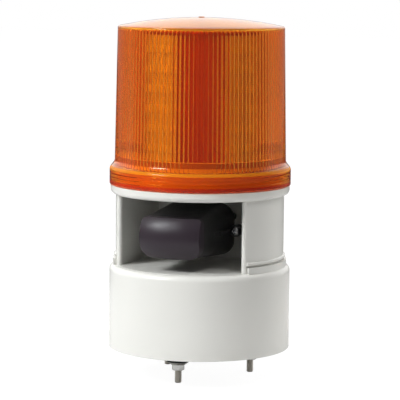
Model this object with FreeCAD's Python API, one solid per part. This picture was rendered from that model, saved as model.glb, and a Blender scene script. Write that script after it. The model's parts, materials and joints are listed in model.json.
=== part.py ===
import FreeCAD, Part
import math
import os

Vector = FreeCAD.Vector

# Beacon sounder: a drum base on three studs, a horn in an open bay, and a lamp column under a screw-on lens.
# Millimetres, +Z up, the front looks along -Y, and z = 0 is the bottom rim of the drum.

# Clearances
fit_gap = 0.3
screw_gap = 0.1
thread_gap = 0.5
seal_gap = 0.1

# Base drum
base_r = 63.0
base_h = 57.6
base_wall = 3.0
base_round = 4.0
base_deck = 3.0
floor_inset = 3.2
collar_inset = 2.5
collar_wall = 2.3
collar_h = 4.4
collar_root = 2.0
plate_lip = 1.5

# Bottom plate and what it carries
plate_recess = 1.0
plate_thick = 2.5
gasket_thick = 1.0
gasket_width = 2.5
plate_boss_inset = 10.5
plate_boss_r = 4.5
plate_screw_sink = 1.3
standoff_r = 3.2
standoff_h = 10.5
standoff_spigot_r = 1.8
standoff_x = 24.0
standoff_y = 30.0
inlet_x = -43.0
inlet_y = 0.0
inlet_bore_r = 4.0
grommet_neck_r = 6.5
grommet_flange_r = 8.5
grommet_flange = 2.0

# Mounting studs
stud_count = 3
stud_pcd = 73.0
stud_thread_r = 2.5
stud_thread_sink = 0.26
stud_reach = 20.3
stud_tip_chamfer = 0.5
stud_head_flats = 8.0
stud_head_h = 3.5
bush_r = 7.9
bush_reach = 5.4
washer_r = 7.8
washer_foot_r = 5.2
washer_h = 2.0
nut_flats = 8.0
nut_h = 4.0
nut_chamfer = 0.6

# Middle housing
housing_step = 0.6
housing_h = 52.6
housing_wall = 2.6
parting_gap = 0.9
bead_reach = 1.2
bead_h = 2.5
bead_chamfer = 0.6
bay_half = 44.25
bay_back = 30.0
bay_wall = 2.5
bay_floor = 3.5
jamb_span = 6.15
jamb_round = 2.0
jamb_edge_gap = 0.7
pillar_boss_gap = 4.05
pillar_boss_y = 13.0
pillar_boss_r = 4.2

# Lens seat
flange_overhang = 3.7
flange_h = 6.4
flange_round = 3.5
seat_deck = 3.0
flange_ledge = 3.0
thread_h = 11.0
thread_wall = 3.2
deck_boss_gap = 0.6
deck_boss_r = 4.0
driver_post_pcd = 56.0
driver_post_r = 3.0
driver_post_h = 5.0

# Lens
skirt_wall = 3.2
skirt_h = 11.3
skirt_lip = 0.7
skirt_lip_gap = 0.3
skirt_bevel = 0.5
shoulder_h = 4.5
shoulder_in = 3.5
lens_taper = 1.8
lens_wall_h = 93.1
lens_wall = 3.0
lens_roof = 1.8
rim_round = 1.2
dome_h = 6.1
nub_r = 2.2
nub_h = 0.5
rib_count = 120
rib_depth = 1.0
rib_foot = 0.6
rib_head = 1.6
seal_width = 2.2
seal_thick = 1.1

# Lamp column
lamp_deck_gap = 1.1
lamp_deck_thick = 2.5
lamp_rim_w = 2.5
lamp_rim_h = 6.0
core_sides = 8
core_apothem = 31.4
core_wall = 2.5
core_headroom = 4.5
board_count = 4
board_w = 24.0
board_thick = 1.6
board_lift = 2.5
board_top_gap = 1.5
led_rows = 6
led_pitch = 13.7
led_columns = 2
led_column_step = 11.0
led_side = 5.0
led_h = 1.8
cap_overhang = 3.2
cap_thick = 3.0
core_rod_r = 2.0
core_rod_head_flats = 7.0
core_rod_head_h = 2.4
core_nut_h = 3.2
core_rod_stick = 1.5
driver_board_r = 36.0
driver_socket = (12.0, 7.0, 7.4)
driver_socket_y = 28.0
driver_coil_r = 6.5
driver_coil_h = 6.0
driver_coil_y = -12.0

# Horn
horn_rear = 0.0
horn_lift = 24.8
horn_wall = 2.2
cap_w = 44.0
cap_h = 27.9
cap_depth = 13.0
cap_drop = 1.35
cap_top_round = 4.0
cap_low_round = 9.0
cap_bulge = 5.6
cap_edge_round = 0.7
horn_rear_wall = 3.0
horn_rear_side = 3.0
horn_rear_round = 11.0
throat_plate = 2.0
throat_r = 5.0
driver_depth = 13.0
mouth_w = 34.0
mouth_from = -39.0
mouth_to = -19.0
ear_reach = 3.0
ear_r = 4.2
ear_depth = 6.0
gusset_from = -34.0
gusset_thick = 3.0
post_r = 4.5

# Sound driver, on the horn's axis
driver_r = 15.0
pole_r = 6.2
coil_gap = 0.4
coil_wall = 0.6
diaphragm_r = 10.5
diaphragm_thick = 0.8
diaphragm_inset = 1.0
dome_rise = 0.4
surround_thick = 2.0
coil_overrun = 0.5
top_plate_thick = 3.0
magnet_r_in = 9.5
magnet_thick = 7.5
back_plate_thick = 3.0
cover_wall = 2.0
cover_gasket = 0.8
cover_lug_end = 3.0
cover_lug_h = 10.0
cover_lug_thick = 2.2
coil_clear = 1.2

# Sounder board and what is on it
sounder_board_x = 58.0
sounder_board_y = 70.0
transformer_size = (24.0, 26.0, 20.0)
transformer_at = (10.0, -14.0)
capacitor_r = 5.0
capacitor_h = 15.0
capacitor_places = ((-10.0, 22.0), (-10.0, 10.0))
terminal_size = (10.0, 36.0, 12.0)
terminal_at = (-22.0, -8.0)
terminal_poles = 6
terminal_screw_r = 2.2
terminal_screw_h = 0.8
chip_size = (8.0, 20.0, 3.5)
chip_at = (-10.0, -16.0)
trimmer_side = 9.5
trimmer_h = 4.8
trimmer_at = (22.0, 10.0)
rotor_r = 3.2
rotor_h = 2.0
rotor_slot_w = 0.9
rotor_slot_depth = 1.0
socket_side = 7.0
socket_h = 8.0

# Inner leads
lead_y = 40.0
lamp_lead_x = 0.0
lamp_lead_r = 2.2
horn_lead_x = 12.0
horn_lead_r = 1.6
horn_lead_rise = 5.5
lead_hole_gap = 2.0
lead_socket_y = 20.0
lead_rise = 2.0
lead_bend_r = 8.0

# Screws: shank radius, head radius, head height, length
small_screw = (1.5, 3.0, 2.0, 10.0)
board_screw = (1.2, 2.4, 1.6, 6.0)

# Heights that follow
plate_top = plate_recess + plate_thick
ledge_z = plate_top + gasket_thick
floor_seat_z = base_h - floor_inset
deck_under_z = floor_seat_z - base_deck
floor_top_z = floor_seat_z + bay_floor
collar_top_z = base_h + collar_h
bead_z = collar_top_z + parting_gap
housing_top_z = floor_seat_z + housing_h
flange_top_z = housing_top_z + flange_h
seat_floor_z = housing_top_z + seat_deck
thread_top_z = flange_top_z + thread_h
skirt_z = flange_top_z + skirt_lip_gap
shoulder_z = skirt_z + skirt_h
lens_foot_z = shoulder_z + shoulder_h
lens_rim_z = lens_foot_z + lens_wall_h
lamp_floor_z = thread_top_z + lamp_deck_thick
core_top_z = lens_rim_z - core_headroom
cap_top_z = core_top_z + cap_thick
driver_board_z = seat_floor_z + driver_post_h
driver_top_z = driver_board_z + board_thick
board_h = core_top_z - lamp_floor_z - board_lift - board_top_gap
sounder_z = plate_top + standoff_h
sounder_top_z = sounder_z + board_thick
bush_z = -bush_reach
washer_z = bush_z - washer_h
nut_z = washer_z - nut_h
horn_z = floor_top_z + horn_lift
horn_lead_z = horn_z + horn_lead_rise

# Radii and places that follow
plate_well_r = base_r - plate_lip
plate_r = plate_well_r - fit_gap
plate_boss_at = base_r - plate_boss_inset
stud_pitch_r = stud_thread_r - stud_thread_sink
collar_r = base_r - collar_inset
collar_in_r = collar_r - collar_wall
neck_r = collar_in_r - fit_gap
housing_r = neck_r + housing_step
bead_r = housing_r + bead_reach
flange_r = housing_r + flange_overhang
thread_r = flange_r - flange_ledge
skirt_in_r = thread_r + thread_gap
skirt_r = skirt_in_r + skirt_wall
lens_foot_r = skirt_r - shoulder_in
lens_rim_r = lens_foot_r - lens_taper
lens_foot_in_r = lens_foot_r - lens_wall
lamp_deck_r = lens_foot_in_r - lamp_deck_gap
deck_boss_at = lamp_deck_r - lamp_rim_w - small_screw[1] - deck_boss_gap
jamb_turn = math.degrees(math.asin(bay_half / housing_r)) + jamb_span
jamb_edge = jamb_turn + jamb_edge_gap
pillar_boss_x = bay_half + bay_wall + pillar_boss_gap
pillar_places = [(sx * pillar_boss_x, sy * pillar_boss_y) for sx in (-1, 1) for sy in (-1, 1)]
board_turns = [(i - 0.25) * 360.0 / board_count for i in range(board_count)]
stud_turns = [i * 360.0 / stud_count for i in range(stud_count)]
boss_turns = [(i + 0.5) * 360.0 / stud_count for i in range(stud_count)]
coil_in_r = pole_r + coil_gap
coil_out_r = coil_in_r + coil_wall
top_plate_in_r = coil_out_r + coil_gap
horn_split = cap_depth - housing_r
cover_r = driver_r + fit_gap + cover_wall
cover_screw_x = cover_r + board_screw[1] + fit_gap
cover_lug_x = cover_screw_x + cover_lug_end
horn_rear_w = 2 * (cover_lug_x + horn_rear_side)
horn_rear_h = 2 * (driver_r + horn_rear_wall)
ear_x = horn_rear_w / 2 + ear_reach
standoff_places = [(sx * standoff_x, sy * standoff_y) for sx in (-1, 1) for sy in (-1, 1)]

# Depths of the sound driver, from the throat plate backwards
rim_y = horn_rear - driver_depth
diaphragm_y = rim_y + diaphragm_inset
top_plate_y = rim_y + surround_thick + coil_clear
magnet_y = top_plate_y + top_plate_thick
back_plate_y = magnet_y + magnet_thick
back_y = back_plate_y + back_plate_thick
cover_y = horn_rear + cover_gasket
cover_back_y = back_y + cover_wall
far = 4.0 * base_r


def polar(radius, turn):
    """Point at a turn in degrees from the front, towards +X."""
    angle = math.radians(turn)
    return radius * math.sin(angle), -radius * math.cos(angle)


driver_post_places = [polar(driver_post_pcd / 2, turn) for turn in stud_turns]
plate_boss_places = [polar(plate_boss_at, turn) for turn in boss_turns]
stud_places = [polar(stud_pcd / 2, turn) for turn in stud_turns]
deck_boss_places = [polar(deck_boss_at, turn) for turn in board_turns]


def disc(radius, z0, z1, at=(0.0, 0.0)):
    return Part.makeCylinder(radius, z1 - z0, Vector(at[0], at[1], z0))


def ring(r_out, r_in, z0, z1, at=(0.0, 0.0)):
    return disc(r_out, z0, z1, at).cut(disc(r_in, z0, z1, at))


def rod_y(radius, y0, y1, x, z):
    return Part.makeCylinder(radius, y1 - y0, Vector(x, y0, z), Vector(0, 1, 0))


def ring_y(r_out, r_in, y0, y1, x, z):
    return rod_y(r_out, y0, y1, x, z).cut(rod_y(r_in, y0, y1, x, z))


def block(x0, x1, y0, y1, z0, z1):
    return Part.makeBox(x1 - x0, y1 - y0, z1 - z0, Vector(x0, y0, z0))


def on_board(size, at, z):
    """Box of a given size, centred at a place and standing on z."""
    x, y = at
    return block(x - size[0] / 2, x + size[0] / 2, y - size[1] / 2, y + size[1] / 2, z, z + size[2])


def line(a, b):
    return Part.LineSegment(Vector(a[0], 0, a[1]), Vector(b[0], 0, b[1])).toShape()


def arc(a, via, b):
    points = [Vector(p[0], 0, p[1]) for p in (a, via, b)]
    return Part.Arc(*points).toShape()


def turned(edges):
    """Solid of revolution about Z from a closed (r, z) outline."""
    face = Part.Face(Part.Wire(edges))
    return face.revolve(Vector(0, 0, 0), Vector(0, 0, 1), 360)


def outline(points):
    """Straight edges round a list of (r, z) points, closed."""
    return [line(a, b) for a, b in zip(points, points[1:] + points[:1])]


def prism(points, z0, z1):
    corners = [Vector(x, y, z0) for x, y in points]
    face = Part.Face(Part.makePolygon(corners + corners[:1]))
    return face.extrude(Vector(0, 0, z1 - z0))


def polygon(sides, apothem, turn=0.0):
    """Corners of a regular polygon that has a flat at the given turn from the front."""
    step = 360.0 / sides
    corner_r = apothem / math.cos(math.radians(step / 2))
    return [polar(corner_r, turn + (i + 0.5) * step) for i in range(sides)]


def hex_prism(flats, z0, z1, at=(0.0, 0.0)):
    corners = [(at[0] + x, at[1] + y) for x, y in polygon(6, flats / 2)]
    return prism(corners, z0, z1)


def front_wedge(turn, z0, z1):
    """Everything nearer the front than a turn to either side."""
    return prism([(0.0, 0.0), polar(far, -turn), polar(far, 0.0), polar(far, turn)], z0, z1)


def moved(shape, x, y, z):
    copy = shape.copy()
    copy.translate(Vector(x, y, z))
    return copy


def turned_by(shape, degrees):
    """Copy turned about the object's axis, from the front towards +X."""
    copy = shape.copy()
    copy.rotate(Vector(0, 0, 0), Vector(0, 0, 1), degrees)
    return copy


def joined(shapes):
    return shapes[0].multiFuse(shapes[1:]).removeSplitter()


def without(shape, tools):
    return shape.cut(Part.makeCompound(tools))


def save(node, shapes):
    solids = [solid for shape in shapes for solid in shape.Solids]
    whole = solids[0] if len(solids) == 1 else Part.makeCompound(solids)
    whole.exportStep("parts/" + node + ".step")


def screw(size):
    """Pan-head screw: its seat at the origin, its shank down -Z."""
    shank_r, head_r, head_h, length = size
    return joined([disc(head_r, 0.0, head_h), disc(shank_r, -length, 0.0)])


def screw_up(size):
    """The same screw driven from below."""
    part = screw(size)
    part.rotate(Vector(0, 0, 0), Vector(1, 0, 0), 180)
    return part


def pilot(size, z0, z1, at):
    return disc(size[0] + screw_gap, z0, z1, at)


# Base drum

def base_shell():
    inner_r = base_r - base_wall
    edge = base_r - base_round
    lower = base_h - base_round
    bend = base_round * math.sin(math.radians(45))
    corners = [(edge, base_h), (collar_in_r, base_h), (collar_in_r, floor_seat_z), (0, floor_seat_z),
               (0, deck_under_z), (inner_r, deck_under_z), (inner_r, ledge_z), (plate_well_r, ledge_z),
               (plate_well_r, 0), (base_r, 0), (base_r, lower)]
    edges = [line(a, b) for a, b in zip(corners, corners[1:])]
    edges.append(arc((base_r, lower), (edge + bend, lower + bend), (edge, base_h)))
    collar = ring(collar_r, collar_in_r, base_h - collar_root, collar_top_z)
    collar = collar.cut(front_wedge(jamb_edge, base_h - collar_root, collar_top_z))
    bosses = [disc(plate_boss_r, plate_top, deck_under_z + base_deck / 2, at) for at in plate_boss_places]
    body = joined([turned(edges), collar] + bosses)
    holes = [pilot(small_screw, plate_top, plate_top + small_screw[3], at) for at in plate_boss_places]
    holes += [pilot(small_screw, deck_under_z, floor_seat_z, at) for at in pillar_places]
    holes += [disc(r + lead_hole_gap, deck_under_z, floor_seat_z, (x, lead_y))
              for x, r in ((lamp_lead_x, lamp_lead_r), (horn_lead_x, horn_lead_r))]
    return without(body, holes)


def bottom_plate():
    holes = [disc(stud_pitch_r + screw_gap, plate_recess, plate_top, at) for at in stud_places]
    holes += [disc(standoff_spigot_r + screw_gap, plate_recess, plate_top, at) for at in standoff_places]
    holes.append(disc(grommet_neck_r, plate_recess, plate_top, (inlet_x, inlet_y)))
    for at in plate_boss_places:
        holes.append(pilot(small_screw, plate_recess, plate_top, at))
        holes.append(disc(small_screw[1] + fit_gap, plate_recess, plate_recess + plate_screw_sink, at))
    return without(disc(plate_r, plate_recess, plate_top), holes)


def standoffs():
    post = joined([disc(standoff_r, plate_top, sounder_z), disc(standoff_spigot_r, plate_recess, plate_top)])
    post = post.cut(pilot(board_screw, sounder_z - board_screw[3], sounder_z, (0.0, 0.0)))
    return [moved(post, x, y, 0) for x, y in standoff_places]


def plate_gasket():
    return ring(plate_r, plate_r - gasket_width, plate_top, ledge_z)


def plate_screws():
    part = screw_up(small_screw)
    z = plate_recess + plate_screw_sink
    return [moved(part, x, y, z) for x, y in plate_boss_places]


def cable_grommet():
    neck = [(inlet_bore_r, plate_recess - grommet_flange), (grommet_flange_r, plate_recess - grommet_flange),
            (grommet_flange_r, plate_recess), (grommet_neck_r, plate_recess), (grommet_neck_r, plate_top),
            (grommet_flange_r, plate_top), (grommet_flange_r, plate_top + grommet_flange),
            (inlet_bore_r, plate_top + grommet_flange)]
    return moved(turned(outline(neck)), inlet_x, inlet_y, 0)


# Mounting studs: the engaged thread is drawn at its pitch radius, the free end at its outer radius

def mounting_studs():
    tip = -stud_reach
    profile = [(0, plate_top), (0, tip), (stud_thread_r - stud_tip_chamfer, tip),
               (stud_thread_r, tip + stud_tip_chamfer), (stud_thread_r, nut_z - fit_gap),
               (stud_pitch_r, nut_z - fit_gap), (stud_pitch_r, plate_top)]
    stud = joined([turned(outline(profile)), hex_prism(stud_head_flats, plate_top, plate_top + stud_head_h)])
    return [moved(stud, x, y, 0) for x, y in stud_places]


def stud_bushes():
    bush = ring(bush_r, stud_pitch_r + fit_gap, bush_z, plate_recess)
    return [moved(bush, x, y, 0) for x, y in stud_places]


def stud_washers():
    bore = stud_pitch_r + fit_gap
    dish = turned(outline([(bore, bush_z), (bore, washer_z), (washer_foot_r, washer_z), (washer_r, bush_z)]))
    return [moved(dish, x, y, 0) for x, y in stud_places]


def stud_nuts():
    corner_r = nut_flats / 2 / math.cos(math.radians(30))
    blank = turned(outline([(0, washer_z), (0, nut_z), (corner_r - nut_chamfer, nut_z),
                            (corner_r, nut_z + nut_chamfer), (corner_r, washer_z)]))
    nut = hex_prism(nut_flats, nut_z, washer_z).common(blank)
    nut = nut.cut(disc(stud_pitch_r + screw_gap, nut_z, washer_z))
    return [moved(nut, x, y, 0) for x, y in stud_places]


# Middle housing

def mirrored(shape):
    return shape.mirror(Vector(0, 0, 0), Vector(1, 0, 0))


def jamb_room():
    """What the right-hand jamb post takes out of the housing wall."""
    corner_r = bay_half / math.sin(math.radians(jamb_turn))
    plan = [polar(corner_r, jamb_turn), (bay_half, -far), polar(far, jamb_turn)]
    return prism(plan, base_h, housing_top_z)


def jamb():
    """Rounded post at the right-hand edge of the bay, from the drum's ledge to the flange."""
    post = jamb_room().common(disc(housing_r, base_h, housing_top_z))
    uprights = [edge for edge in post.Edges if edge.BoundBox.ZLength > bay_floor]
    foremost = min(uprights, key=lambda edge: edge.CenterOfMass.y)
    return post.makeFillet(jamb_round, [foremost])


def horn_housing():
    wall = [(0, floor_seat_z), (neck_r, floor_seat_z), (neck_r, bead_z), (housing_r, bead_z),
            (housing_r, housing_top_z), (0, housing_top_z)]
    liner_x = bay_half + bay_wall
    liner = block(-liner_x, liner_x, -far, bay_back + bay_wall, floor_seat_z, housing_top_z)
    hollow = disc(housing_r - housing_wall, floor_seat_z, housing_top_z).cut(liner)
    bay = block(-bay_half, bay_half, -far, bay_back, floor_top_z, housing_top_z)
    shell = without(turned(outline(wall)), [hollow, bay, jamb_room(), mirrored(jamb_room())])
    bead_in = housing_r - housing_wall / 2
    bead = turned(outline([(bead_in, bead_z), (bead_r - bead_chamfer, bead_z), (bead_r, bead_z + bead_chamfer),
                           (bead_r, bead_z + bead_h - bead_chamfer), (bead_r - bead_chamfer, bead_z + bead_h),
                           (bead_in, bead_z + bead_h)]))
    bead = bead.cut(front_wedge(jamb_turn, bead_z, bead_z + bead_h))
    bosses = [disc(pillar_boss_r, floor_seat_z, housing_top_z, at) for at in pillar_places]
    posts = [rod_y(post_r, horn_rear, bay_back + bay_wall / 2, side * ear_x, horn_z) for side in (-1, 1)]
    body = joined([shell, bead, jamb(), mirrored(jamb())] + bosses + posts)
    holes = []
    for at in pillar_places:
        holes.append(pilot(small_screw, floor_seat_z, floor_seat_z + small_screw[3], at))
        holes.append(pilot(small_screw, housing_top_z - small_screw[3], housing_top_z, at))
    for side in (-1, 1):
        holes.append(rod_y(small_screw[0] + screw_gap, horn_rear, horn_rear + small_screw[3],
                           side * ear_x, horn_z))
    holes.append(rod_y(horn_lead_r + lead_hole_gap, bay_back, bay_back + bay_wall, horn_lead_x, horn_lead_z))
    return without(body, holes)


def housing_screws():
    part = screw_up(small_screw)
    return [moved(part, x, y, deck_under_z) for x, y in pillar_places]


# Lens seat and lens

def lens_seat():
    edge = flange_r - flange_round
    bend = flange_round * math.sin(math.radians(45))
    bottom = housing_top_z
    corners = [(flange_r, bottom + flange_round), (flange_r, flange_top_z), (thread_r, flange_top_z),
               (thread_r, thread_top_z), (thread_r - thread_wall, thread_top_z),
               (thread_r - thread_wall, seat_floor_z), (0, seat_floor_z), (0, bottom), (edge, bottom)]
    edges = [line(a, b) for a, b in zip(corners, corners[1:])]
    edges.append(arc((edge, bottom), (edge + bend, bottom + flange_round - bend), corners[0]))
    bosses = [disc(deck_boss_r, seat_floor_z, thread_top_z, at) for at in deck_boss_places]
    posts = [disc(driver_post_r, seat_floor_z, driver_board_z, at) for at in driver_post_places]
    body = joined([turned(edges)] + bosses + posts)
    holes = [pilot(small_screw, bottom, seat_floor_z, at) for at in pillar_places]
    holes += [disc(small_screw[1] + fit_gap, seat_floor_z, thread_top_z, at) for at in pillar_places]
    holes += [pilot(small_screw, thread_top_z - small_screw[3], thread_top_z, at) for at in deck_boss_places]
    holes += [pilot(board_screw, driver_board_z - board_screw[3], driver_board_z, at)
              for at in driver_post_places]
    holes.append(disc(lamp_lead_r + lead_hole_gap, bottom, seat_floor_z, (lamp_lead_x, lead_y)))
    return without(body, holes)


def seat_screws():
    return [moved(screw(small_screw), x, y, seat_floor_z) for x, y in pillar_places]


def lens_seal():
    inner = thread_r + fit_gap
    return ring(inner + seal_width, inner, flange_top_z, flange_top_z + seal_thick)


def lens_radius(z):
    return lens_foot_r + (lens_rim_r - lens_foot_r) * (z - lens_foot_z) / lens_wall_h


def rib_ring(z):
    """Points round the ribbed bore at one height: rib crests and the valleys between them."""
    crest = lens_radius(lens_foot_z) - lens_wall
    taper = (lens_radius(z) - lens_wall) / crest
    step = 180.0 / rib_count
    points = [polar(taper * (crest + rib_depth * (i % 2)), i * step) for i in range(2 * rib_count)]
    return [Vector(x, y, z) for x, y in points]


def ribbed_bore(z0, z1):
    """Tapered bore whose wall is folded into ribs, all of it flat faces."""
    low = rib_ring(z0)
    high = rib_ring(z1)
    outlines = [low, high]
    for i in range(len(low)):
        outlines.append([low[i - 1], low[i], high[i], high[i - 1]])
    faces = [Part.Face(Part.makePolygon(points + points[:1])) for points in outlines]
    return Part.makeSolid(Part.makeShell(faces))


def lens():
    sphere_r = (lens_rim_r ** 2 + dome_h ** 2) / (2 * dome_h)
    apex = lens_rim_z + dome_h
    centre = apex - sphere_r

    def on_dome(radius, r):
        return r, centre + math.sqrt(radius ** 2 - r ** 2)

    corners = [(0, apex), (0, skirt_z), (skirt_r - skirt_bevel, skirt_z), (skirt_r, skirt_z + skirt_bevel),
               (skirt_r, shoulder_z), (lens_foot_r, lens_foot_z), (lens_rim_r, lens_rim_z)]
    edges = [line(a, b) for a, b in zip(corners, corners[1:])]
    edges.append(arc(corners[-1], on_dome(sphere_r, lens_rim_r / 2), corners[0]))
    outer = turned(edges)
    rim = [edge for edge in outer.Edges
           if edge.BoundBox.ZLength < fit_gap and abs(edge.BoundBox.ZMin - lens_rim_z) < fit_gap]
    outer = outer.makeFillet(rim_round, rim)
    outer = joined([outer, disc(nub_r, apex - lens_roof / 2, apex + nub_h)])

    seal_top = flange_top_z + seal_thick + seal_gap
    skirt_top = thread_top_z + thread_gap
    rib_z0 = lens_foot_z + rib_foot
    rib_z1 = lens_rim_z - rib_head
    head_in = lens_radius(rib_z1) - lens_wall
    inner_r = sphere_r - lens_roof
    bore = [(0, skirt_z), (skirt_r - skirt_lip, skirt_z), (skirt_r - skirt_lip, seal_top),
            (skirt_in_r, seal_top), (skirt_in_r, skirt_top), (lens_foot_in_r, skirt_top),
            (lens_foot_in_r, rib_z0), (head_in, rib_z0), on_dome(inner_r, head_in)]
    top = (0, centre + inner_r)
    edges = [line(a, b) for a, b in zip(bore, bore[1:])]
    edges.append(arc(bore[-1], on_dome(inner_r, head_in / 2), top))
    edges.append(line(top, bore[0]))
    return without(outer, [turned(edges), ribbed_bore(rib_z0, rib_z1)])


# Lamp column under the lens

def lamp_deck():
    rim_top = lamp_floor_z + lamp_rim_h
    rim = ring(lamp_deck_r, lamp_deck_r - lamp_rim_w, thread_top_z, rim_top)
    body = joined([disc(lamp_deck_r, thread_top_z, lamp_floor_z), rim])
    holes = [pilot(small_screw, thread_top_z, lamp_floor_z, at) for at in deck_boss_places]
    holes.append(disc(core_rod_r + screw_gap, thread_top_z, lamp_floor_z))
    return without(body, holes)


def lamp_deck_screws():
    return [moved(screw(small_screw), x, y, lamp_floor_z) for x, y in deck_boss_places]


def led_core():
    turn = board_turns[0]
    outside = prism(polygon(core_sides, core_apothem, turn), lamp_floor_z, core_top_z)
    inside = prism(polygon(core_sides, core_apothem - core_wall, turn), lamp_floor_z, core_top_z)
    return outside.cut(inside)


def led_board(turn):
    z0 = lamp_floor_z + board_lift
    board = block(-board_w / 2, board_w / 2, -core_apothem - board_thick, -core_apothem, z0, z0 + board_h)
    return turned_by(board, turn)


def leds():
    face = -core_apothem - board_thick
    middle = lamp_floor_z + board_lift + board_h / 2
    parts = []
    for turn in board_turns:
        for row in range(led_rows):
            z = middle + (row - (led_rows - 1) / 2) * led_pitch
            for column in range(led_columns):
                x = (column - (led_columns - 1) / 2) * led_column_step
                chip = block(x - led_side / 2, x + led_side / 2, face - led_h, face,
                             z - led_side / 2, z + led_side / 2)
                parts.append(turned_by(chip, turn))
    return parts


def core_cap():
    corners = polygon(core_sides, core_apothem + cap_overhang, board_turns[0])
    return prism(corners, core_top_z, cap_top_z).cut(disc(core_rod_r + screw_gap, core_top_z, cap_top_z))


def core_rod():
    head = hex_prism(core_rod_head_flats, thread_top_z - core_rod_head_h, thread_top_z)
    return joined([head, disc(core_rod_r, thread_top_z, cap_top_z + core_nut_h + core_rod_stick)])


def core_nut():
    nut = hex_prism(core_rod_head_flats, cap_top_z, cap_top_z + core_nut_h)
    return nut.cut(disc(core_rod_r + screw_gap, cap_top_z, cap_top_z + core_nut_h))


def driver_board():
    board = disc(driver_board_r, driver_board_z, driver_top_z)
    return without(board, [pilot(board_screw, driver_board_z, driver_top_z, at) for at in driver_post_places])


def driver_parts():
    socket = on_board(driver_socket, (lamp_lead_x, driver_socket_y), driver_top_z)
    coil = disc(driver_coil_r, driver_top_z, driver_top_z + driver_coil_h, (0.0, driver_coil_y))
    return [socket, coil]


def driver_board_screws():
    return [moved(screw(board_screw), x, y, driver_top_z) for x, y in driver_post_places]


# Horn

def rounded_section(y, width, height, top_round, low_round, drop):
    """Rounded rectangle across the horn at one depth, its middle some way below the horn's axis."""
    half_w = width / 2
    half_h = height / 2

    def at(x, z):
        return Vector(x, y, horn_z - drop + z)

    edges = []
    for sx, sz in ((1, 1), (-1, 1), (-1, -1), (1, -1)):
        corner = top_round if sz > 0 else low_round
        bend = corner * (1 - math.sin(math.radians(45)))
        side = at(sx * half_w, sz * (half_h - corner))
        via = at(sx * (half_w - bend), sz * (half_h - bend))
        top = at(sx * (half_w - corner), sz * half_h)
        ends = (side, via, top) if sx * sz > 0 else (top, via, side)
        edges.append(Part.Arc(*ends).toShape())
    runs = []
    for bent, following in zip(edges, edges[1:] + edges[:1]):
        runs.append(bent)
        runs.append(Part.LineSegment(bent.Vertexes[-1].Point, following.Vertexes[0].Point).toShape())
    return Part.Wire(runs)


def horn_size(y):
    """Width, height, corners and drop of the horn's body at a depth."""
    share = (y - horn_split) / (horn_rear - horn_split)
    front = (cap_w, cap_h, cap_top_round, cap_low_round, cap_drop)
    rear = (horn_rear_w, horn_rear_h, horn_rear_round, horn_rear_round, 0.0)
    return [a + (b - a) * share for a, b in zip(front, rear)]


def narrowed(size):
    """The same section, less the horn's wall all round."""
    width, height, top_round, low_round, drop = size
    trim = 2 * horn_wall
    return width - trim, height - trim, top_round - horn_wall, low_round - horn_wall, drop


def horn_bore(y0, y1):
    """Passage inside the horn's body between two depths."""
    wires = [rounded_section(y, *narrowed(horn_size(y))) for y in (y0, y1)]
    return Part.makeLoft(wires, True, True)


def cap_face(back):
    """Barrel, flush with the housing, whose front is the horn's bulging face, set back by a distance."""
    middle = horn_z - cap_drop
    top = middle + cap_h / 2
    low = middle - cap_h / 2
    crest = housing_r - back
    rim = crest - cap_bulge
    edges = [line((0, top), (0, low)), line((0, low), (rim, low)),
             arc((rim, low), (crest, middle), (rim, top)), line((rim, top), (0, top))]
    return turned(edges)


def cap_block(size, back):
    """Section of the horn's front run forwards into the bulging face."""
    face = Part.Face(rounded_section(horn_split, *size))
    return face.extrude(Vector(0, -cap_depth, 0)).common(cap_face(back))


def horn_cap():
    size = horn_size(horn_split)
    outside = cap_block(size, 0.0)
    brow = [edge for edge in outside.Edges if edge.BoundBox.YMax < horn_split - fit_gap]
    outside = outside.makeFillet(cap_edge_round, brow)
    return outside.cut(cap_block(narrowed(size), horn_wall))


def horn_body():
    ends = [rounded_section(y, *horn_size(y)) for y in (horn_split, horn_rear)]
    ear_y = horn_rear - ear_depth
    ears = []
    for side in (-1, 1):
        ears.append(rod_y(ear_r, ear_y, horn_rear, side * ear_x, horn_z))
        plan = [(side * horn_rear_w / 2 - side * ear_r, gusset_from), (side * (ear_x + ear_r), ear_y),
                (side * (ear_x + ear_r), horn_rear), (side * horn_rear_w / 2 - side * ear_r, horn_rear)]
        ears.append(prism(plan, horn_z - gusset_thick / 2, horn_z + gusset_thick / 2))
    body = joined([Part.makeLoft(ends, True, True)] + ears)
    plate_y = horn_rear - driver_depth - throat_plate
    holes = [horn_bore(horn_split, plate_y),
             block(-mouth_w / 2, mouth_w / 2, mouth_from, mouth_to, horn_z - horn_rear_h, horn_z),
             rod_y(throat_r, plate_y, horn_rear, 0, horn_z),
             rod_y(driver_r + screw_gap, horn_rear - driver_depth, horn_rear, 0, horn_z)]
    for side in (-1, 1):
        holes.append(rod_y(small_screw[0] + screw_gap, ear_y, horn_rear, side * ear_x, horn_z))
        holes.append(rod_y(small_screw[1] + fit_gap, gusset_from, ear_y, side * ear_x, horn_z))
        holes.append(rod_y(board_screw[0] + screw_gap, horn_rear - board_screw[3], horn_rear,
                           side * cover_screw_x, horn_z))
    return without(body, holes)


def horn_screws():
    part = screw(small_screw)
    part.rotate(Vector(0, 0, 0), Vector(1, 0, 0), 90)
    return [moved(part, side * ear_x, horn_rear - ear_depth, horn_z) for side in (-1, 1)]


# Sound driver

def turned_y(points):
    """Solid of revolution about the horn's axis from (r, y) points."""
    corners = [Vector(r, y, horn_z) for r, y in points]
    face = Part.Face(Part.makePolygon(corners + corners[:1]))
    return face.revolve(Vector(0, 0, horn_z), Vector(0, 1, 0), 360)


def surround_ring():
    return ring_y(driver_r, diaphragm_r + fit_gap, rim_y, rim_y + surround_thick, 0, horn_z)


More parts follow.
